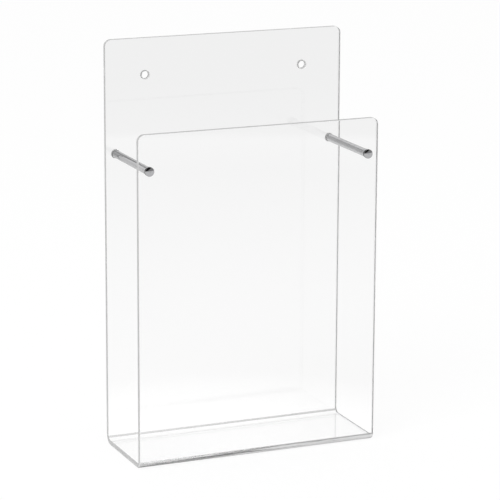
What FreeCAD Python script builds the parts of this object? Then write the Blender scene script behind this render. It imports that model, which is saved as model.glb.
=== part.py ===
"""Wall-mounted magazine rack: one bent sheet of clear acrylic held open by two metal spacer rods.

Frame: +X to the right, +Y towards the wall, +Z up, in millimetres. The origin lies on the resting
plane, under the middle of the whole rack, the caps that stand proud of the front included.
"""
import FreeCAD
import Part
import Sketcher
import math
import os
import re

SHEET = "Dimensions"

# Each size is set here and nowhere else, in millimetres.
SIZES = {
    # the bent acrylic sheet
    "rack_width": 240.0,
    "sheet_thickness": 4.5,
    "back_height": 390.0,
    "front_height": 316.0,
    "outer_depth": 90.0,
    "front_bend_inner": 2.0,
    "back_bend_inner": 5.5,
    "corner_radius": 6.5,
    "edge_round": 0.4,
    # the two plain holes for wall screws
    "wall_hole_dia": 7.0,
    "wall_hole_spacing": 160.0,
    "wall_hole_drop": 35.0,
    "wall_hole_bevel": 0.8,
    # the two spacer rods between the panels
    "rod_dia": 7.5,
    "rod_inset": 10.5,
    "rod_drop": 34.0,
    "rod_end_chamfer": 0.4,
    # the threads that hold the rods, drawn as plain cylinders
    "thread_dia": 4.0,
    "thread_clearance": 0.1,
    "panel_hole_clearance": 0.25,
    "tapped_depth": 12.0,
    "thread_reach": 10.0,
    "thread_tip_chamfer": 0.5,
    # the low domed front caps and the washers under them
    "cap_dia": 8.8,
    "cap_thickness": 1.8,
    "cap_edge": 0.6,
    "washer_dia": 8.8,
    "washer_thickness": 1.0,
    # the countersunk screws on the wall side
    "screw_head_dia": 7.5,
    "screw_head_rim": 0.3,
    "screw_head_recess": 0.2,
    "countersink_clearance": 0.1,
    "socket_width": 2.5,
    "socket_depth": 1.5,
}

# Places and lengths that follow from the sizes, written once and used by every piece.
FRONT_FACE = "(washer_thickness + cap_thickness - outer_depth) / 2"
BACK_FACE = f"{FRONT_FACE} + outer_depth"
CLEAR_GAP = "outer_depth - 2 * sheet_thickness"
ROD_LEVEL = "front_height - rod_drop"
ROD_SPACING = "rack_width - 2 * rod_inset"
WALL_HOLE_LEVEL = "back_height - wall_hole_drop"
THREAD_RADIUS = "thread_dia / 2"
PANEL_HOLE_RADIUS = "(thread_dia / 2 + panel_hole_clearance)"
TAPPED_RADIUS = "(thread_dia / 2 + thread_clearance)"
STUD_END = "cap_thickness + washer_thickness + sheet_thickness + thread_reach"

doc = FreeCAD.newDocument("MagazineRack")


def make_sheet():
    """Put every size into a spreadsheet cell whose alias is the size's name."""
    sheet = doc.addObject("Spreadsheet::Sheet", SHEET)
    for row, (name, number) in enumerate(SIZES.items(), start=1):
        sheet.set(f"A{row}", name)
        sheet.set(f"B{row}", str(number))
        sheet.setAlias(f"B{row}", name)
    doc.recompute()
    return sheet


sheet = make_sheet()


def bound(formula):
    """The formula as a document expression: each size's name becomes its cell."""
    return re.sub(r"[a-z_]+", lambda word: f"{SHEET}.{word[0]}" if word[0] in SIZES else word[0], formula)


def number(formula):
    """What the formula comes to with the sheet's present sizes."""
    return float(sheet.evalExpression(bound(formula)))


def bind(thing, prop, formula):
    """Tie one property of an object to a formula of sizes."""
    thing.setExpression(prop, bound(formula))


def new_body(label, across="0", along="0", up="0"):
    """An empty body, placed by formulas of sizes."""
    body = doc.addObject("PartDesign::Body", label)
    body.Label = label
    for axis, formula in zip("xyz", (across, along, up)):
        bind(body, f"Placement.Base.{axis}", formula)
    return body


def new_sketch(body, plane, name, along="0"):
    """A sketch on one of the body's own planes, moved by a formula along the plane's normal."""
    sketch = body.newObject("Sketcher::SketchObject", name)
    origin_plane = next(item for item in body.Origin.OriginFeatures if item.Role == plane)
    sketch.AttachmentSupport = [(origin_plane, "")]
    sketch.MapMode = "FlatFace"
    bind(sketch, "AttachmentOffset.Base.z", along)
    return sketch


def dimension(sketch, kind, places, formula):
    """A sketch dimension tied to a formula of sizes."""
    index = sketch.addConstraint(Sketcher.Constraint(kind, *places, number(formula)))
    bind(sketch, f"Constraints[{index}]", formula)


def pin_point(sketch, place, across, up):
    """Hold a sketch point at a distance from the sketch's axes, or on them."""
    for formula, kind, axis in ((across, "DistanceX", -2), (up, "DistanceY", -1)):
        if formula == "0":
            sketch.addConstraint(Sketcher.Constraint("PointOnObject", *place, axis))
        else:
            dimension(sketch, kind, (-1, 1, *place), formula)


def draw_outline(sketch, corners):
    """A closed outline of straight lines through corners given as (across, up) formulas."""
    points = [FreeCAD.Vector(number(across), number(up), 0) for across, up in corners]
    for start, end in zip(points, points[1:] + points[:1]):
        sketch.addGeometry(Part.LineSegment(start, end))
    for line, (across, up) in enumerate(corners):
        before = (line - 1) % len(corners)
        sketch.addConstraint(Sketcher.Constraint("Coincident", before, 2, line, 1))
        pin_point(sketch, (line, 1), across, up)


def draw_hole_pair(sketch, spacing, level, diameter):
    """Two equal circles on one level, mirrored about the middle of the rack."""
    for side in (-1, 1):
        centre = FreeCAD.Vector(side * number(spacing) / 2, number(level), 0)
        sketch.addGeometry(Part.Circle(centre, FreeCAD.Vector(0, 0, 1), number(diameter) / 2))
    sketch.addConstraint(Sketcher.Constraint("Symmetric", 0, 3, 1, 3, -2))
    sketch.addConstraint(Sketcher.Constraint("Equal", 0, 1))
    dimension(sketch, "DistanceX", (0, 3, 1, 3), spacing)
    dimension(sketch, "DistanceY", (-1, 1, 1, 3), level)
    dimension(sketch, "Diameter", (1,), diameter)


def add_pocket(body, name, sketch, depth, reverse=False):
    """A pocket from the sketch into the body, as deep as the formula says."""
    pocket = body.newObject("PartDesign::Pocket", name)
    pocket.Profile = sketch
    pocket.Reversed = reverse
    bind(pocket, "Length", depth)
    doc.recompute()
    return pocket


def add_revolution(body, name, sketch):
    """A half outline turned once round the Y axis."""
    turned = body.newObject("PartDesign::Revolution", name)
    turned.Profile = sketch
    turned.ReferenceAxis = (sketch, ["V_Axis"])
    turned.Angle = 360
    doc.recompute()
    return turned


def add_turned(body, name, corners):
    """A turned solid: the half outline, as (radius, along) formulas, turned about the Y axis."""
    sketch = new_sketch(body, "XY_Plane", f"{name}_outline")
    draw_outline(sketch, corners)
    return add_revolution(body, name, sketch)


def add_fillet(body, name, feature, edges, radius):
    """A fillet on the numbered edges of a feature."""
    fillet = body.newObject("PartDesign::Fillet", name)
    fillet.Base = (feature, [f"Edge{index}" for index in edges])
    bind(fillet, "Radius", radius)
    doc.recompute()
    return fillet


def add_chamfer(body, name, feature, edges, size):
    """An even chamfer on the numbered edges of a feature."""
    chamfer = body.newObject("PartDesign::Chamfer", name)
    chamfer.Base = (feature, [f"Edge{index}" for index in edges])
    bind(chamfer, "Size", size)
    doc.recompute()
    return chamfer


def draw_hexagon(sketch, width):
    """A regular hexagon about the sketch's origin, measured across its flats."""
    corner_radius = f"{width} / 2 / cos(30 deg)"
    radius = number(corner_radius)
    turns = [math.radians(60 * corner) for corner in range(6)]
    corners = [FreeCAD.Vector(radius * math.cos(turn), radius * math.sin(turn), 0) for turn in turns]
    guide = Part.Circle(FreeCAD.Vector(0, 0, 0), FreeCAD.Vector(0, 0, 1), radius)
    circle = sketch.addGeometry(guide, True)
    sketch.addConstraint(Sketcher.Constraint("Coincident", circle, 3, -1, 1))
    dimension(sketch, "Radius", (circle,), corner_radius)
    sides = [sketch.addGeometry(Part.LineSegment(start, end))
             for start, end in zip(corners, corners[1:] + corners[:1])]
    for side, following in zip(sides, sides[1:] + sides[:1]):
        sketch.addConstraint(Sketcher.Constraint("Coincident", side, 2, following, 1))
        sketch.addConstraint(Sketcher.Constraint("PointOnObject", side, 1, circle))
    for side in sides[1:]:
        sketch.addConstraint(Sketcher.Constraint("Equal", sides[0], side))
    sketch.addConstraint(Sketcher.Constraint("PointOnObject", sides[0], 1, -1))


def draw_bent_section(sketch):
    """The section of the bent sheet, seen from its side: front panel, floor and back panel.

    Across is measured from the outer face of the front panel, up from the underside of the floor.
    """
    depth = number("outer_depth")
    thickness = number("sheet_thickness")
    front_top = number("front_height")
    back_top = number("back_height")
    front_in = number("front_bend_inner")
    back_in = number("back_bend_inner")
    front_out = front_in + thickness
    back_out = back_in + thickness
    back_centre = depth - back_out

    def line(across_a, up_a, across_b, up_b):
        start = FreeCAD.Vector(across_a, up_a, 0)
        end = FreeCAD.Vector(across_b, up_b, 0)
        return sketch.addGeometry(Part.LineSegment(start, end))

    def arc(across, up, radius, start_quarter):
        circle = Part.Circle(FreeCAD.Vector(across, up, 0), FreeCAD.Vector(0, 0, 1), radius)
        start = start_quarter * math.pi / 2
        return sketch.addGeometry(Part.ArcOfCircle(circle, start, start + math.pi / 2))

    front_outer = line(0, front_top, 0, front_out)
    front_bend_outer = arc(front_out, front_out, front_out, 2)
    underside = line(front_out, 0, back_centre, 0)
    back_bend_outer = arc(back_centre, back_out, back_out, 3)
    back_outer = line(depth, back_out, depth, back_top)
    back_edge = line(depth, back_top, depth - thickness, back_top)
    back_inner = line(depth - thickness, back_top, depth - thickness, back_out)
    back_bend_inner = arc(back_centre, back_out, back_in, 3)
    floor_top = line(back_centre, thickness, front_out, thickness)
    front_bend_inner = arc(front_out, front_out, front_in, 2)
    front_inner = line(thickness, front_out, thickness, front_top)
    front_edge = line(thickness, front_top, 0, front_top)

    def tangent(first, first_end, second, second_end):
        sketch.addConstraint(Sketcher.Constraint("Tangent", first, first_end, second, second_end))

    # An arc's point 1 is where it starts and point 2 where it ends, turning anticlockwise.
    tangent(front_outer, 2, front_bend_outer, 1)
    tangent(front_bend_outer, 2, underside, 1)
    tangent(underside, 2, back_bend_outer, 1)
    tangent(back_bend_outer, 2, back_outer, 1)
    tangent(back_inner, 2, back_bend_inner, 2)
    tangent(back_bend_inner, 1, floor_top, 1)
    tangent(floor_top, 2, front_bend_inner, 2)
    tangent(front_bend_inner, 1, front_inner, 1)
    for first, second in ((back_outer, back_edge), (back_edge, back_inner),
                          (front_inner, front_edge), (front_edge, front_outer)):
        sketch.addConstraint(Sketcher.Constraint("Coincident", first, 2, second, 1))
    for outer, inner in ((front_bend_outer, front_bend_inner), (back_bend_outer, back_bend_inner)):
        sketch.addConstraint(Sketcher.Constraint("Coincident", outer, 3, inner, 3))
    sketch.addConstraint(Sketcher.Constraint("PointOnObject", front_outer, 1, -2))
    sketch.addConstraint(Sketcher.Constraint("PointOnObject", underside, 1, -1))
    for upright in (front_outer, front_inner, back_outer, back_inner):
        sketch.addConstraint(Sketcher.Constraint("Vertical", upright))
    for level in (underside, back_edge, front_edge):
        sketch.addConstraint(Sketcher.Constraint("Horizontal", level))
    dimension(sketch, "DistanceX", (front_edge, 2, front_edge, 1), "sheet_thickness")
    dimension(sketch, "DistanceX", (back_edge, 2, back_edge, 1), "sheet_thickness")
    dimension(sketch, "DistanceX", (-1, 1, back_outer, 2), "outer_depth")
    dimension(sketch, "DistanceY", (-1, 1, front_outer, 1), "front_height")
    dimension(sketch, "DistanceY", (-1, 1, back_outer, 2), "back_height")
    dimension(sketch, "Radius", (front_bend_inner,), "front_bend_inner")
    dimension(sketch, "Radius", (back_bend_inner,), "back_bend_inner")


def corner_edges(shape):
    """The short straight edges at the four upper corners, where the panels' tops meet their sides."""
    found = []
    for index, edge in enumerate(shape.Edges, start=1):
        ends = [vertex.Point for vertex in edge.Vertexes]
        across_thickness = len(ends) == 2 and ends[0].z == ends[1].z and ends[0].x == ends[1].x
        at_top = any(abs(ends[0].z - number(top)) < 1e-6 for top in ("front_height", "back_height"))
        if across_thickness and at_top:
            found.append(index)
    return found


def is_rim(face):
    """Whether a face of the sheet is part of its cut edge and not one of its two broad faces."""
    surface = face.Surface
    if isinstance(surface, Part.Cylinder):
        return abs(surface.Axis.y) > 0.5
    upward = abs(surface.Axis.z) > 0.5
    high = face.CenterOfMass.z > number("sheet_thickness") + 1e-6
    return abs(surface.Axis.x) > 0.5 or (upward and high)


def rim_edges(shape):
    """The edges between the sheet's cut edge and its two broad faces."""
    found = []
    for index, edge in enumerate(shape.Edges, start=1):
        faces = shape.ancestorsOfType(edge, Part.Face)
        if sum(is_rim(face) for face in faces) == 1:
            found.append(index)
    return found


def wall_hole_rims(shape):
    """The round edges of the two wall holes, on both faces of the back panel."""
    return [index for index, edge in enumerate(shape.Edges, start=1)
            if isinstance(edge.Curve, Part.Circle) and edge.Closed
            and abs(edge.Curve.Radius - number("wall_hole_dia / 2")) < 1e-6]


def make_acrylic_sheet():
    """One sheet bent into a tall back panel, a floor and a lower front panel, then drilled."""
    body = new_body("acrylic_sheet", along=FRONT_FACE)
    section = new_sketch(body, "YZ_Plane", "bent_section")
    draw_bent_section(section)
    strip = body.newObject("PartDesign::Pad", "bent_strip")
    strip.Profile = section
    strip.SideType = "Symmetric"
    bind(strip, "Length", "rack_width")
    doc.recompute()
    corners = add_fillet(body, "round_corners", strip, corner_edges(strip.Shape), "corner_radius")
    add_fillet(body, "polished_edges", corners, rim_edges(corners.Shape), "edge_round")

    wall_holes = new_sketch(body, "XZ_Plane", "wall_hole_circles", along="-outer_depth")
    draw_hole_pair(wall_holes, "wall_hole_spacing", WALL_HOLE_LEVEL, "wall_hole_dia")
    drilled = add_pocket(body, "wall_holes", wall_holes, "sheet_thickness", reverse=True)
    add_chamfer(body, "bevelled_wall_holes", drilled, wall_hole_rims(drilled.Shape), "wall_hole_bevel")

    front_holes = new_sketch(body, "XZ_Plane", "front_hole_circles")
    draw_hole_pair(front_holes, ROD_SPACING, ROD_LEVEL, f"2 * {PANEL_HOLE_RADIUS}")
    add_pocket(body, "front_holes", front_holes, "sheet_thickness")

    rear_holes = new_sketch(body, "XZ_Plane", "rear_hole_circles", along="-outer_depth")
    draw_hole_pair(rear_holes, ROD_SPACING, ROD_LEVEL, f"2 * {PANEL_HOLE_RADIUS}")
    doc.recompute()
    countersunk = body.newObject("PartDesign::Hole", "countersunk_holes")
    countersunk.Profile = rear_holes
    doc.recompute()
    countersunk.Reversed = True
    countersunk.DepthType = "Dimension"
    countersunk.DrillPoint = "Flat"
    countersunk.HoleCutType = "Countersink"
    countersunk.HoleCutCustomValues = True
    countersunk.HoleCutCountersinkAngle = 90
    bind(countersunk, "Depth", "sheet_thickness")
    bind(countersunk, "Diameter", f"2 * {PANEL_HOLE_RADIUS}")
    bind(countersunk, "HoleCutDiameter",
         "screw_head_dia + 2 * (screw_head_rim + screw_head_recess + countersink_clearance)")
    doc.recompute()


def make_spacer_rod(side, across):
    """A round rod between the two panels, with a tapped hole in each end."""
    body = new_body(f"spacer_rod_{side}", across, f"{FRONT_FACE} + sheet_thickness", ROD_LEVEL)
    surface = "rod_dia / 2"
    face_edge = "rod_dia / 2 - rod_end_chamfer"
    # Each tapped hole ends in the drill's blunt point, as long as the hole's own radius.
    front_point = f"tapped_depth + {TAPPED_RADIUS}"
    add_turned(body, f"turned_rod_{side}", [
        ("0", front_point),
        (TAPPED_RADIUS, "tapped_depth"),
        (TAPPED_RADIUS, "0"),
        (face_edge, "0"),
        (surface, "rod_end_chamfer"),
        (surface, f"{CLEAR_GAP} - rod_end_chamfer"),
        (face_edge, CLEAR_GAP),
        (TAPPED_RADIUS, CLEAR_GAP),
        (TAPPED_RADIUS, f"{CLEAR_GAP} - tapped_depth"),
        ("0", f"{CLEAR_GAP} - ({front_point})"),
    ])


def make_cap_washer(side, across):
    """A thin washer between the front panel and the cap."""
    body = new_body(f"cap_washer_{side}", across, f"{FRONT_FACE} - washer_thickness", ROD_LEVEL)
    add_turned(body, f"washer_ring_{side}", [
        (PANEL_HOLE_RADIUS, "0"),
        ("washer_dia / 2", "0"),
        ("washer_dia / 2", "washer_thickness"),
        (PANEL_HOLE_RADIUS, "washer_thickness"),
    ])


def draw_cap_outline(sketch):
    """Half the outline of a cap, as radius and along: its dome, its thin edge and its threaded stud."""
    radius, edge, length = number("cap_dia / 2"), number("cap_edge"), number("cap_thickness")
    rise = length - edge
    ball = (radius ** 2 + rise ** 2) / (2 * rise)
    shank, tip = number(THREAD_RADIUS), number("thread_tip_chamfer")
    end = number(STUD_END)
    lean = math.asin(radius / ball)
    ball_circle = Part.Circle(FreeCAD.Vector(0, ball, 0), FreeCAD.Vector(0, 0, 1), ball)
    dome = sketch.addGeometry(Part.ArcOfCircle(ball_circle, -math.pi / 2, lean - math.pi / 2))
    corners = [(radius, rise), (radius, length), (shank, length), (shank, end - tip),
               (shank - tip, end), (0, end), (0, 0)]
    points = [FreeCAD.Vector(*corner, 0) for corner in corners]
    lines = [sketch.addGeometry(Part.LineSegment(start, finish)) for start, finish in zip(points, points[1:])]
    for before, after in zip([dome, *lines], [*lines, dome]):
        sketch.addConstraint(Sketcher.Constraint("Coincident", before, 2, after, 1))
    sketch.addConstraint(Sketcher.Constraint("PointOnObject", dome, 3, -2))
    formulas = [("cap_dia / 2", "cap_thickness - cap_edge"), ("cap_dia / 2", "cap_thickness"),
                (THREAD_RADIUS, "cap_thickness"), (THREAD_RADIUS, f"{STUD_END} - thread_tip_chamfer"),
                (f"{THREAD_RADIUS} - thread_tip_chamfer", STUD_END), ("0", STUD_END)]
    for line, (across, along) in zip(lines, formulas):
        pin_point(sketch, (line, 1), across, along)
    pin_point(sketch, (dome, 1), "0", "0")


def make_front_cap(side, across):
    """A low domed cap whose threaded stud passes the washer and the panel into the rod."""
    cap_face = f"{FRONT_FACE} - washer_thickness - cap_thickness"
    body = new_body(f"front_cap_{side}", across, cap_face, ROD_LEVEL)
    outline = new_sketch(body, "XY_Plane", f"cap_outline_{side}")
    draw_cap_outline(outline)
    add_revolution(body, f"turned_cap_{side}", outline)


def make_rear_screw(side, across):
    """A countersunk screw through the back panel into the rod, its head just below the wall face."""
    tip = f"{BACK_FACE} - sheet_thickness - thread_reach"
    body = new_body(f"rear_screw_{side}", across, tip, ROD_LEVEL)
    head_face = "thread_reach + sheet_thickness - screw_head_recess"
    cone_top = f"{head_face} - screw_head_rim"
    # The cone has sides at 45 degrees, so it is as long as it is wide on each side of the shank.
    cone_foot = f"{cone_top} - (screw_head_dia / 2 - {THREAD_RADIUS})"
    add_turned(body, f"turned_screw_{side}", [
        ("0", "0"),
        (f"{THREAD_RADIUS} - thread_tip_chamfer", "0"),
        (THREAD_RADIUS, "thread_tip_chamfer"),
        (THREAD_RADIUS, cone_foot),
        ("screw_head_dia / 2", cone_top),
        ("screw_head_dia / 2", head_face),
        ("0", head_face),
    ])
    socket = new_sketch(body, "XZ_Plane", f"socket_hexagon_{side}", along=f"-({head_face})")
    draw_hexagon(socket, "socket_width")
    add_pocket(body, f"socket_{side}", socket, "socket_depth", reverse=True)


def check_document():
    """Stop before anything is written if an object failed or a piece is not a sound solid."""
    doc.recompute()
    for thing in doc.Objects:
        if "Invalid" in thing.State or "Error" in thing.State:
            raise RuntimeError(f"{thing.Label} failed: {thing.State}")
    pieces = [thing for thing in doc.Objects if thing.TypeId == "PartDesign::Body"]
    for piece in pieces:
        if piece.Shape.isNull() or not piece.Shape.isValid() or len(piece.Shape.Solids) != 1:
            raise RuntimeError(f"{piece.Label} is not one sound solid")
    return pieces


make_acrylic_sheet()
for side, across in (("left", f"-({ROD_SPACING}) / 2"), ("right", f"({ROD_SPACING}) / 2")):
    make_spacer_rod(side, across)
    make_cap_washer(side, across)
    make_front_cap(side, across)
    make_rear_screw(side, across)

pieces = check_document()
os.makedirs("parts", exist_ok=True)
for piece in pieces:
    piece.Shape.exportStep(f"parts/{piece.Label}.step")
    box = piece.Shape.optimalBoundingBox(False, False)
    print(f"{piece.Label}: {box.XLength:.2f} x {box.YLength:.2f} x {box.ZLength:.2f} mm, "
          f"volume {piece.Shape.Volume:.1f} mm3")
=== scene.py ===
"""The looks of a clear acrylic magazine rack, laid out as an add-on and run as a script.

Metres, +X to the right, +Y towards the wall, +Z up, the origin on the floor under the rack's middle.
A number named ..._FADE is the pair of values between which one look gives way to the next.
"""
import math

import bpy
from mathutils import Matrix, Vector

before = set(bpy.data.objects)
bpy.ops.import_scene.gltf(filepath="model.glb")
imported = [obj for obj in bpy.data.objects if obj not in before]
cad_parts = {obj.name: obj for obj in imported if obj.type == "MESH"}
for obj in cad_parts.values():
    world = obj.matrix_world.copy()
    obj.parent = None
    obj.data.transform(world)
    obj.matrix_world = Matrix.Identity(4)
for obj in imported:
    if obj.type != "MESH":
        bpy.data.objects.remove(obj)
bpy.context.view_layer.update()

bl_info = {
    "name": "Magazine Rack",
    "version": (1, 0, 0),
    "blender": (4, 5, 0),
    "location": "3D View > Sidebar > Magazine Rack",
    "description": "Finishes a clear bent-acrylic magazine rack and its studio",
    "category": "Object",
}


class Field:
    """A node socket that takes part in sums: each operator adds its Math node."""

    def __init__(self, recipe, socket):
        self.recipe = recipe
        self.socket = socket

    def _maths(self, operation, *operands):
        return self.recipe.add("ShaderNodeMath", {"operation": operation}, dict(enumerate(operands)))

    def __add__(self, other):
        return self._maths("ADD", self, other)

    def __radd__(self, other):
        return self._maths("ADD", other, self)

    def __sub__(self, other):
        return self._maths("SUBTRACT", self, other)

    def __rsub__(self, other):
        return self._maths("SUBTRACT", other, self)

    def __mul__(self, other):
        return self._maths("MULTIPLY", self, other)

    def __rmul__(self, other):
        return self._maths("MULTIPLY", other, self)

    def __truediv__(self, other):
        return self._maths("DIVIDE", self, other)

    def __rtruediv__(self, other):
        return self._maths("DIVIDE", other, self)

    def __pow__(self, other):
        return self._maths("POWER", self, other)

    def __rpow__(self, other):
        return self._maths("POWER", other, self)

    def __abs__(self):
        return self._maths("ABSOLUTE", self)

    def __gt__(self, other):
        return self._maths("GREATER_THAN", self, other)

    def __lt__(self, other):
        return self._maths("LESS_THAN", self, other)

    def either(self, other):
        """The larger of the two."""
        return self._maths("MAXIMUM", self, other)


class Recipe:
    """The node tree of one material, or of the world, built up node by node."""

    def __init__(self, owner):
        owner.use_nodes = True
        self.tree = owner.node_tree
        self.tree.nodes.clear()

    def add(self, kind, settings=None, sockets=None, results=(0,)):
        """Add a node, its settings first and then its sockets, and hand back the outputs asked for."""
        node = self.tree.nodes.new(kind)
        for name, value in (settings or {}).items():
            if name == "stops":
                self.set_stops(node.color_ramp, value)
            else:
                setattr(node, name, value)
        for name, value in (sockets or {}).items():
            if isinstance(value, Field):
                self.tree.links.new(value.socket, node.inputs[name])
            else:
                node.inputs[name].default_value = value
        fields = [Field(self, node.outputs[name]) for name in results]
        return fields[0] if len(fields) == 1 else fields

    @staticmethod
    def set_stops(ramp, stops):
        """Give a colour ramp its stops, each a place and a grey level."""
        while len(ramp.elements) < len(stops):
            ramp.elements.new(0.5)
        for element, (place, level) in zip(ramp.elements, stops):
            element.position = place
            element.color = grey(level)

    def ramp(self, field, stops):
        """The grey level that the stops have at the field's value."""
        return self.add("ShaderNodeValToRGB", {"stops": stops}, {"Fac": field}, ("Color",))

    def ease(self, field, fade, values):
        """Go from the first value to the second while the field goes through the fade."""
        return self.add("ShaderNodeMapRange", {"interpolation_type": "SMOOTHSTEP"},
                        {"Value": field, "From Min": fade[0], "From Max": fade[1],
                         "To Min": values[0], "To Max": values[1]})

    def coordinates(self, kind="Object"):
        """The point on the piece in metres, or another of a surface's coordinates."""
        return self.add("ShaderNodeTexCoord", results=(kind,))

    def split(self, vector):
        """The vector's shares along X, Y and Z."""
        return self.add("ShaderNodeSeparateXYZ", None, {"Vector": vector}, ("X", "Y", "Z"))

    def noise(self, scale, detail, stretch=(1.0, 1.0, 1.0)):
        """Soft noise over the piece, finer along an axis whose stretch is larger."""
        place = self.add("ShaderNodeMapping", {"vector_type": "POINT"},
                         {"Vector": self.coordinates(), "Scale": stretch})
        return self.add("ShaderNodeTexNoise", None,
                        {"Vector": place, "Scale": scale, "Detail": detail}, ("Fac",))

    def bump(self, height, strength, distance):
        """The normal of a surface that the height raises and lowers."""
        return self.add("ShaderNodeBump", None,
                        {"Strength": strength, "Distance": distance, "Height": height})

    def close_solid(self, sockets):
        """Close the tree with one solid surface."""
        surface = self.add("ShaderNodeBsdfPrincipled", None, sockets)
        self.add("ShaderNodeOutputMaterial", None, {"Surface": surface}, ())


def linear(colour):
    """The colour as a socket takes it, with nothing see-through about it."""
    return (*colour, 1.0)


def grey(level):
    """The same level of red, green and blue."""
    return linear((level, level, level))


def give_finish(material, *nodes):
    """Put one material on each of the named CAD nodes."""
    for name in nodes:
        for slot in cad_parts[name].material_slots:
            slot.material = material


class AcrylicSettings(bpy.types.PropertyGroup):
    """What a user would change about the clear sheet."""

    tint: bpy.props.FloatVectorProperty(
        name="Tint", description="Colour that the sheet gives to what is seen through it",
        default=(1.0, 1.0, 1.0), subtype="COLOR", min=0.0, max=1.0)
    bending: bpy.props.FloatProperty(
        name="Refractive index", description="How strongly the acrylic bends light", default=1.49)
    # Painted shade: the cut edge's grey also paints the dark line inside the back bend and the darker
    # underside of the front bend's band.
    edge: bpy.props.FloatVectorProperty(
        name="Cut edge", description="Colour of the satin on the cut edges and inside the back bend",
        default=(0.65, 0.65, 0.65), subtype="COLOR", min=0.0, max=1.0)
    # Painted light: the pale haze colour stands for the light in the front bend's band, whose streaks come
    # from noise.
    haze: bpy.props.FloatVectorProperty(
        name="Bend haze", description="Colour of the dull streaks that the heat leaves in the front bend",
        default=(0.92, 0.92, 0.92), subtype="COLOR", min=0.0, max=1.0)
    depth_tint: bpy.props.FloatVectorProperty(
        name="Depth tint", description="Colour that light keeps on its way through the sheet's length",
        default=(0.87, 0.87, 0.87), subtype="COLOR", min=0.0, max=1.0)
    density: bpy.props.FloatProperty(
        name="Density", description="How fast a long way through the sheet takes light", default=14.0)


class FittingSettings(bpy.types.PropertyGroup):
    """What a user would change about the rods, caps, washers and screws."""

    rod: bpy.props.FloatVectorProperty(
        name="Rod metal", description="Colour of the spacer rods",
        default=(0.58, 0.58, 0.59), subtype="COLOR", min=0.0, max=1.0)
    cap: bpy.props.FloatVectorProperty(
        name="Cap metal", description="Colour of the caps on the front panel",
        default=(0.46, 0.46, 0.47), subtype="COLOR", min=0.0, max=1.0)
    rim: bpy.props.FloatVectorProperty(
        name="Rim", description="Share of the light that rods and caps throw back at a glancing view",
        default=(0.8, 0.8, 0.8), subtype="COLOR", min=0.0, max=1.0)
    polish: bpy.props.FloatProperty(
        name="Polish", description="Roughness of the rods and caps", default=0.06, min=0.0, max=1.0)
    screw: bpy.props.FloatVectorProperty(
        name="Screw steel", description="Colour of the countersunk screws",
        default=(0.56, 0.56, 0.57), subtype="COLOR", min=0.0, max=1.0)
    washer: bpy.props.FloatVectorProperty(
        name="Washer", description="Colour of the washers under the caps",
        default=(0.012, 0.012, 0.012), subtype="COLOR", min=0.0, max=1.0)


class StudioSettings(bpy.types.PropertyGroup):
    """What a user would change about the studio."""

    azimuth: bpy.props.FloatProperty(
        name="Azimuth", description="How far the camera stands round to the side",
        default=math.radians(-23.16), subtype="ANGLE", unit="ROTATION")
    elevation: bpy.props.FloatProperty(
        name="Elevation", description="How far the camera looks down",
        default=math.radians(13.7), subtype="ANGLE", unit="ROTATION")
    roll: bpy.props.FloatProperty(
        name="Roll", description="How far the camera is tilted to its side",
        default=math.radians(0.27), subtype="ANGLE", unit="ROTATION")
    distance: bpy.props.FloatProperty(
        name="Distance", description="From the camera to the point it aims at",
        default=2.4026, subtype="DISTANCE", unit="LENGTH")
    aim: bpy.props.FloatVectorProperty(
        name="Aim", description="The point that the camera aims at",
        default=(0.0092, 0.0012, 0.1882), subtype="XYZ", unit="LENGTH")
    lens: bpy.props.FloatProperty(
        name="Lens", description="Focal length in millimetres on a 36 mm wide frame", default=182.79)
    floor_size: bpy.props.FloatProperty(
        name="Floor", description="Width of the floor", default=60.0, subtype="DISTANCE", unit="LENGTH")
    floor_drop: bpy.props.FloatProperty(
        name="Floor drop", description="Gap that keeps the floor clear of the rack's underside",
        default=0.0004, subtype="DISTANCE", unit="LENGTH")
    ambient: bpy.props.FloatProperty(
        name="Ambient", description="Strength of the soft light from all round", default=0.68)
    softbox_power: bpy.props.FloatProperty(
        name="Softbox", description="Power of the softbox at the upper left", default=34.0, unit="POWER")


SIDEWAYS = 0.4  # the normal of an end face points sideways by more than this
BROADSIDE = 0.9  # the normal of a broad face points to the front or the back by at least this
BEND_TOP = 0.0102  # height just above both bends; below it only the end faces are cut


def cut_faces(recipe):
    """1 on the faces that a saw or a drill cut, 0 on the two broad faces of the bent sheet."""
    sideways, frontways, _ = recipe.split(recipe.coordinates("Normal"))
    _, _, up = recipe.split(recipe.coordinates())
    end_faces = abs(sideways) > SIDEWAYS
    rims = (abs(frontways) < BROADSIDE) * (up > BEND_TOP)
    return end_faces.either(rims)


CREASE = (0.0409, 0.0069)  # depth and height of the painted dark line of shade inside the back bend
CREASE_FADE = (0.0006, 0.0014)  # by the distance from the line
# painted shade: how far the grey satin darkens the line inside the back bend
CREASE_PAINTED_SHADE = 0.62
FRONT_FACE = -0.0436  # depth of the front panel's outer face
FOOT_DEPTH = 0.006  # how far the streaky band, painted grey for the bend's light, reaches back from that face
FOOT_FADE = (0.0054, 0.0064)  # by the height
STREAK_FADE = (0.4, 0.56)  # by the noise
STREAK_PAINTED_SHARE = (0.12, 1.0)  # share of painted grey, between the streaks and in them
STREAK_SIDE_FADE = (-0.06, 0.05)  # from the left, where streaks are few, to the right, where they close up
STREAK_SIDE_GAIN = (-0.1, 0.17)  # what the noise gains on the left and on the right


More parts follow.
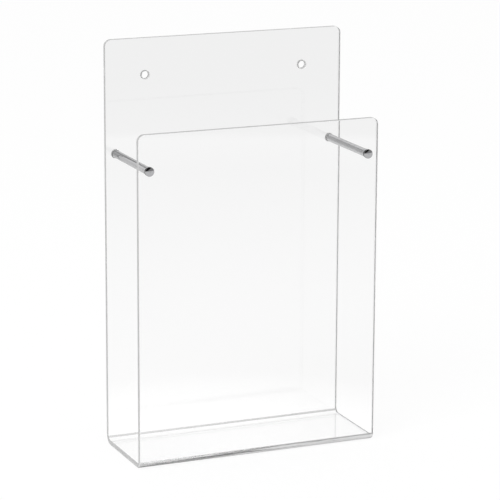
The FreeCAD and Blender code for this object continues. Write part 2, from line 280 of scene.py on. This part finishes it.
def painted_bend_shade(recipe):
    """Painted shade and light in the two bends, each from 0 to 1.

    The back bend gets one thin painted dark line of shade along its inside, the front bend a streaky band
    along its foot, painted grey for the bend's light and shade.
    """
    side, along, up = recipe.split(recipe.coordinates())
    from_crease = ((along - CREASE[0]) ** 2 + (up - CREASE[1]) ** 2) ** 0.5
    # painted shade along the inside of the back bend
    line = recipe.ease(from_crease, CREASE_FADE, (CREASE_PAINTED_SHADE, 0.0))
    streaks = recipe.noise(scale=60.0, detail=3.0, stretch=(0.25, 4.0, 12.0))
    streaks = streaks + recipe.ease(side, STREAK_SIDE_FADE, STREAK_SIDE_GAIN)
    # a streaky band along the front bend's foot, painted grey for the bend's light
    band = recipe.ease(up, FOOT_FADE, (1.0, 0.0)) * (along < FRONT_FACE + FOOT_DEPTH)
    foot = band * recipe.ease(streaks, STREAK_FADE, STREAK_PAINTED_SHARE)
    return line, foot


CUT_DULLNESS = 0.65
CUT_GRAIN = 0.2  # what the saw's marks add to it at most
HAZE_FADE = (0.0008, 0.0035)  # by the height
PAINTED_LIGHT_BY_HEIGHT = (0.3, 1.0)  # painted light and shade: how far the streaks take the pale haze colour, at the underside and above; the darker cut-edge grey is the painted shade at the underside


def clear_acrylic(settings):
    """Clear cast acrylic with satin cut edges that look grey, painted shade and light in the two bends, and
    grey over a long way through.
    """
    material = bpy.data.materials.new("clear_acrylic_finish")
    recipe = Recipe(material)
    waves = recipe.noise(scale=14.0, detail=1.0)
    clear = recipe.add("ShaderNodeBsdfPrincipled", None, {
        "Base Color": linear(settings.tint),
        "Roughness": 0.0,
        "IOR": settings.bending,
        "Transmission Weight": 1.0,
        "Normal": recipe.bump(waves, strength=0.02, distance=0.0005),
    })
    marks = recipe.noise(scale=700.0, detail=3.0)
    line, foot = painted_bend_shade(recipe)
    _, _, up = recipe.split(recipe.coordinates())
    # painted light in the front bend's band, with painted shade at its underside
    haze = foot * recipe.ease(up, HAZE_FADE, PAINTED_LIGHT_BY_HEIGHT)
    tone = recipe.add("ShaderNodeMix", {"data_type": "RGBA"}, {
        "Factor": haze, "A": linear(settings.edge), "B": linear(settings.haze)}, ("Result",))
    satin = recipe.add("ShaderNodeBsdfPrincipled", None, {
        "Base Color": tone,
        "Roughness": 0.35 + 0.2 * marks,
        "IOR": settings.bending,
    })
    # Satin on the cut faces, and painted light and shade in the two bends
    satin_and_painted_shade = (cut_faces(recipe) * (CUT_DULLNESS + CUT_GRAIN * marks)).either(line).either(foot)
    surface = recipe.add("ShaderNodeMixShader", None, {0: satin_and_painted_shade, 1: clear, 2: satin})
    depth = recipe.add("ShaderNodeVolumeAbsorption", None, {
        "Color": linear(settings.depth_tint), "Density": settings.density})
    recipe.add("ShaderNodeOutputMaterial", None, {"Surface": surface, "Volume": depth}, ())
    return material


def polished_metal(name, colour, settings):
    """Bright turned metal with fine rings left by the lathe."""
    material = bpy.data.materials.new(name)
    recipe = Recipe(material)
    rings = recipe.noise(scale=900.0, detail=3.0, stretch=(0.05, 1.0, 0.05))
    haze = recipe.noise(scale=60.0, detail=4.0)
    recipe.close_solid({
        "Base Color": linear(colour),
        "Metallic": 1.0,
        "Roughness": settings.polish + 0.04 * haze,
        "Specular Tint": linear(settings.rim),
        "Normal": recipe.bump(rings, strength=0.05, distance=0.0001),
    })
    return material


def screw_steel(settings):
    """Plain steel with a light brushed grain."""
    material = bpy.data.materials.new("screw_steel_finish")
    recipe = Recipe(material)
    grain = recipe.noise(scale=1500.0, detail=4.0, stretch=(1.0, 0.1, 1.0))
    recipe.close_solid({
        "Base Color": linear(settings.screw),
        "Metallic": 1.0,
        "Roughness": 0.25 + 0.15 * grain,
    })
    return material


def black_washer(settings):
    """Matte black washer with a faint grain."""
    material = bpy.data.materials.new("black_washer_finish")
    recipe = Recipe(material)
    grain = recipe.noise(scale=2500.0, detail=3.0)
    recipe.close_solid({
        "Base Color": linear(settings.washer),
        "Roughness": 0.45 + 0.1 * grain,
        "Normal": recipe.bump(grain, strength=0.1, distance=0.0001),
    })
    return material


class RACK_OT_acrylic_sheet(bpy.types.Operator):
    """Give the bent sheet its clear acrylic"""

    bl_idname = "rack.acrylic_sheet"
    bl_label = "Acrylic Sheet"

    def execute(self, context):
        give_finish(clear_acrylic(context.scene.rack_acrylic), "acrylic_sheet")
        return {"FINISHED"}


class RACK_OT_spacer_rods(bpy.types.Operator):
    """Give the two spacer rods their polished metal"""

    bl_idname = "rack.spacer_rods"
    bl_label = "Spacer Rods"

    def execute(self, context):
        settings = context.scene.rack_fittings
        give_finish(polished_metal("rod_metal_finish", settings.rod, settings),
                    "spacer_rod_left", "spacer_rod_right")
        return {"FINISHED"}


class RACK_OT_front_caps(bpy.types.Operator):
    """Give the two front caps their polished metal"""

    bl_idname = "rack.front_caps"
    bl_label = "Front Caps"

    def execute(self, context):
        settings = context.scene.rack_fittings
        give_finish(polished_metal("cap_metal_finish", settings.cap, settings),
                    "front_cap_left", "front_cap_right")
        return {"FINISHED"}


class RACK_OT_cap_washers(bpy.types.Operator):
    """Give the washers under the caps their matte black"""

    bl_idname = "rack.cap_washers"
    bl_label = "Cap Washers"

    def execute(self, context):
        give_finish(black_washer(context.scene.rack_fittings), "cap_washer_left", "cap_washer_right")
        return {"FINISHED"}


class RACK_OT_rear_screws(bpy.types.Operator):
    """Give the countersunk screws their plain steel"""

    bl_idname = "rack.rear_screws"
    bl_label = "Rear Screws"

    def execute(self, context):
        give_finish(screw_steel(context.scene.rack_fittings), "rear_screw_left", "rear_screw_right")
        return {"FINISHED"}


def looked_at(recipe):
    """1 for rays that show a surface to the camera: straight, by way of metal, or through acrylic."""
    camera, glossy, refracted = recipe.add("ShaderNodeLightPath", results=(
        "Is Camera Ray", "Is Glossy Ray", "Is Transmission Ray"))
    return camera, glossy * (1 - refracted), refracted


# Grey levels of the floor. Metal and acrylic show a ramp of levels that starts at the rack: a painted pool
# of light that is brightest at the rack and fades outwards.
FLOOR_TO_CAMERA = 0.9
FLOOR_SHADOWED = 0.12  # the matte part of the floor that is looked at, which takes the rack's shadow
FLOOR_UNSEEN = 0.85
FLOOR_RAMP = ((0.0, 1.0), (0.05, 0.97), (0.12, 0.87), (0.3, 0.86), (0.45, 0.845), (0.64, 0.825),
              (0.75, 0.84), (0.78, 0.8), (1.0, 0.785))
FLOOR_RAMP_END = 2.0  # distance from the rack's middle
# painted shade: the fixed level of the floor in front, as metal and acrylic show it
FLOOR_IN_FRONT = 0.88
FLOOR_FRONT_FADE = (-0.35, -0.06)  # by the depth
FLOOR_LEFT_SHADE = 0.3  # painted shade: share of its glow that the far left loses as acrylic shows it
FLOOR_LEFT_FADE = (-0.35, -0.1)  # by the place to the side divided by the depth
FLOOR_FAR_FADE = (0.5, 1.3)  # by the depth


def pale_floor():
    """White to the camera, soft greys in metal and acrylic, and plain matte for all other light."""
    material = bpy.data.materials.new("pale_floor")
    recipe = Recipe(material)
    camera, mirrored, refracted = looked_at(recipe)
    point = recipe.coordinates()
    side, depth, _ = recipe.split(point)
    reach = recipe.add("ShaderNodeVectorMath", {"operation": "LENGTH"}, {0: point}, ("Value",))
    in_front = recipe.ease(depth, FLOOR_FRONT_FADE, (1.0, 0.0))
    # Painted light and shade in what metal and acrylic show of the floor: brighter at the rack, a fixed
    # level in front, and darker at the far left.
    behind = recipe.ramp(reach / FLOOR_RAMP_END, FLOOR_RAMP)
    left_shade = recipe.ease(side / depth, FLOOR_LEFT_FADE, (FLOOR_LEFT_SHADE, 0.0))
    shaded = 1 - refracted * (left_shade * recipe.ease(depth, FLOOR_FAR_FADE, (0.0, 1.0)))
    shown = behind * shaded * (1 - in_front) + FLOOR_IN_FRONT * in_front
    level = camera * FLOOR_TO_CAMERA + (1 - camera) * shown
    matte = recipe.add("ShaderNodeBsdfDiffuse", None, {"Color": grey(FLOOR_SHADOWED)})
    glow = recipe.add("ShaderNodeEmission", None, {"Color": level, "Strength": 1.0})
    seen = recipe.add("ShaderNodeAddShader", None, {0: matte, 1: glow})
    unseen = recipe.add("ShaderNodeBsdfDiffuse", None, {"Color": grey(FLOOR_UNSEEN)})
    surface = recipe.add("ShaderNodeMixShader", None, {
        0: camera.either(mirrored).either(refracted), 1: unseen, 2: seen})
    recipe.add("ShaderNodeOutputMaterial", None, {"Surface": surface}, ())
    return material


# Grey levels of the room, by the way a ray leaves: to the side, in depth and in height, each -1 to 1.
ROOM_RAMP = ((0.0, 0.8), (0.5, 0.82), (0.58, 0.86), (0.62, 0.98), (0.682, 1.0), (0.69, 0.35),
             (0.706, 0.35), (0.716, 1.0))  # behind the rack, from straight down to straight up
ROOM_SCALE = 0.5  # share of the ramp that a height of 1 covers
ROOM_LIFT = 0.1  # how much higher the ramp lies on the right
ROOM_LIFT_FADE = (0.16, 0.24)  # by the side
ROOM_FRONT_FADE = (-0.3, 0.1)  # by the depth
ROOM_LEFT_SHARE = 0.62  # share of its light that the left keeps through acrylic
ROOM_LEFT_FADE = (-0.2, -0.1)  # by the side
MIRROR_RAMP = ((0.0, 0.42), (0.56, 0.38), (0.61, 0.02), (1.0, 0.02))  # in front, as metal shows it
MIRROR_LEAN = 0.6  # how far that ramp leans to the side
MIRROR_SCALE = 0.4  # share of it that a height of 1 covers
HORIZON = 0.5  # place on both ramps
GLASS_IN_FRONT = 0.95  # in front, as acrylic shows it


def studio_light(settings):
    """White to the camera, soft greys in metal and acrylic, and even light from all round."""
    world = bpy.data.worlds.new("studio_light")
    recipe = Recipe(world)
    camera, mirrored, refracted = looked_at(recipe)
    side, depth, height = recipe.split(recipe.coordinates("Generated"))
    lowered = height - recipe.ease(side, ROOM_LIFT_FADE, (0.0, ROOM_LIFT))
    behind = recipe.ramp(lowered * ROOM_SCALE + HORIZON, ROOM_RAMP)
    in_front = recipe.ease(depth, ROOM_FRONT_FADE, (1.0, 0.0))
    dark_side = recipe.ramp((height - MIRROR_LEAN * side) * MIRROR_SCALE + HORIZON, MIRROR_RAMP)
    in_metal = behind * (1 - in_front) + dark_side * in_front
    shaded = recipe.ease(side, ROOM_LEFT_FADE, (ROOM_LEFT_SHARE, 1.0))
    in_glass = behind * shaded * (1 - in_front) + GLASS_IN_FRONT * in_front
    even = settings.ambient * (1 - mirrored.either(refracted))
    level = camera + (1 - camera) * (even + in_metal * mirrored + in_glass * refracted)
    glow = recipe.add("ShaderNodeBackground", None, {"Color": level, "Strength": 1.0})
    recipe.add("ShaderNodeOutputWorld", None, {"Surface": glow}, ())
    return world


SOFTBOX_PLACE = Vector((-2.0, -1.3, 2.0))
SOFTBOX_AIM = Vector((0.0, 0.0, 0.2))
SOFTBOX_WIDTH = 1.6
FRAME_WIDTH = 36.0  # in millimetres, like the lens
VIEW_LIMIT = 200.0  # how far the camera sees


class RACK_OT_studio(bpy.types.Operator):
    """Build the pale floor, the soft light and the camera"""

    bl_idname = "rack.studio"
    bl_label = "Studio"

    def execute(self, context):
        settings = context.scene.rack_studio
        self.lay_floor(settings)
        context.scene.world = studio_light(settings)
        self.hang_softbox(settings)
        context.scene.camera = self.set_camera(settings)
        return {"FINISHED"}

    def lay_floor(self, settings):
        bpy.ops.object.select_all(action="DESELECT")
        bpy.ops.mesh.primitive_plane_add(size=settings.floor_size, location=(0, 0, -settings.floor_drop))
        floor = bpy.context.object
        floor.name = "studio_floor"
        bpy.ops.object.transform_apply(location=True)
        floor.data.materials.append(pale_floor())

    def hang_softbox(self, settings):
        """Hang the softbox at the upper left, and keep it from being seen through the acrylic."""
        bpy.ops.object.select_all(action="DESELECT")
        bpy.ops.object.light_add(type="AREA", location=SOFTBOX_PLACE)
        softbox = bpy.context.object
        softbox.name = "softbox"
        softbox.data.shape = "RECTANGLE"
        softbox.data.size = SOFTBOX_WIDTH
        softbox.data.size_y = SOFTBOX_WIDTH
        softbox.data.energy = settings.softbox_power
        softbox.visible_transmission = False
        softbox.rotation_euler = (SOFTBOX_PLACE - SOFTBOX_AIM).to_track_quat("Z", "Y").to_euler()

    def set_camera(self, settings):
        turn, tip = settings.azimuth, settings.elevation
        back = Vector((math.sin(turn) * math.cos(tip), -math.cos(turn) * math.cos(tip), math.sin(tip)))
        bpy.ops.object.camera_add(location=Vector(settings.aim) + back * settings.distance)
        camera = bpy.context.object
        camera.name = "studio_camera"
        level = (-back).to_track_quat("-Z", "Y").to_matrix()
        camera.rotation_euler = (level @ Matrix.Rotation(settings.roll, 3, "Z")).to_euler()
        camera.data.lens = settings.lens
        camera.data.sensor_width = FRAME_WIDTH
        camera.data.clip_end = VIEW_LIMIT
        return camera


class RACK_PT_panel(bpy.types.Panel):
    """The rack's settings and steps in the sidebar"""

    bl_idname = "RACK_PT_panel"
    bl_label = "Magazine Rack"
    bl_space_type = "VIEW_3D"
    bl_region_type = "UI"
    bl_category = "Magazine Rack"

    def draw(self, context):
        for group in SETTINGS:
            box = self.layout.box()
            settings = getattr(context.scene, group)
            for name in settings.bl_rna.properties.keys():
                if name not in ("rna_type", "name"):
                    box.prop(settings, name)
        for operator in OPERATORS:
            self.layout.operator(operator.bl_idname)


SETTINGS = {"rack_acrylic": AcrylicSettings, "rack_fittings": FittingSettings, "rack_studio": StudioSettings}
OPERATORS = (RACK_OT_acrylic_sheet, RACK_OT_spacer_rods, RACK_OT_front_caps, RACK_OT_cap_washers,
             RACK_OT_rear_screws, RACK_OT_studio)
CLASSES = (*SETTINGS.values(), *OPERATORS, RACK_PT_panel)

# Light meets many faces of the clear sheet, so it is followed further than usual.
BOUNCES = 48
MIRROR_BOUNCES = 24


def register():
    for item in CLASSES:
        bpy.utils.register_class(item)
    for name, group in SETTINGS.items():
        setattr(bpy.types.Scene, name, bpy.props.PointerProperty(type=group))


def unregister():
    for name in SETTINGS:
        delattr(bpy.types.Scene, name)
    for item in reversed(CLASSES):
        bpy.utils.unregister_class(item)


def main():
    """Register the add-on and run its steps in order."""
    register()
    bpy.context.scene.view_settings.view_transform = "Standard"
    bpy.context.scene.cycles.max_bounces = BOUNCES
    bpy.context.scene.cycles.transmission_bounces = BOUNCES
    bpy.context.scene.cycles.glossy_bounces = MIRROR_BOUNCES
    bpy.ops.rack.acrylic_sheet()
    bpy.ops.rack.spacer_rods()
    bpy.ops.rack.front_caps()
    bpy.ops.rack.cap_washers()
    bpy.ops.rack.rear_screws()
    bpy.ops.rack.studio()


if __name__ == "__main__":
    main()
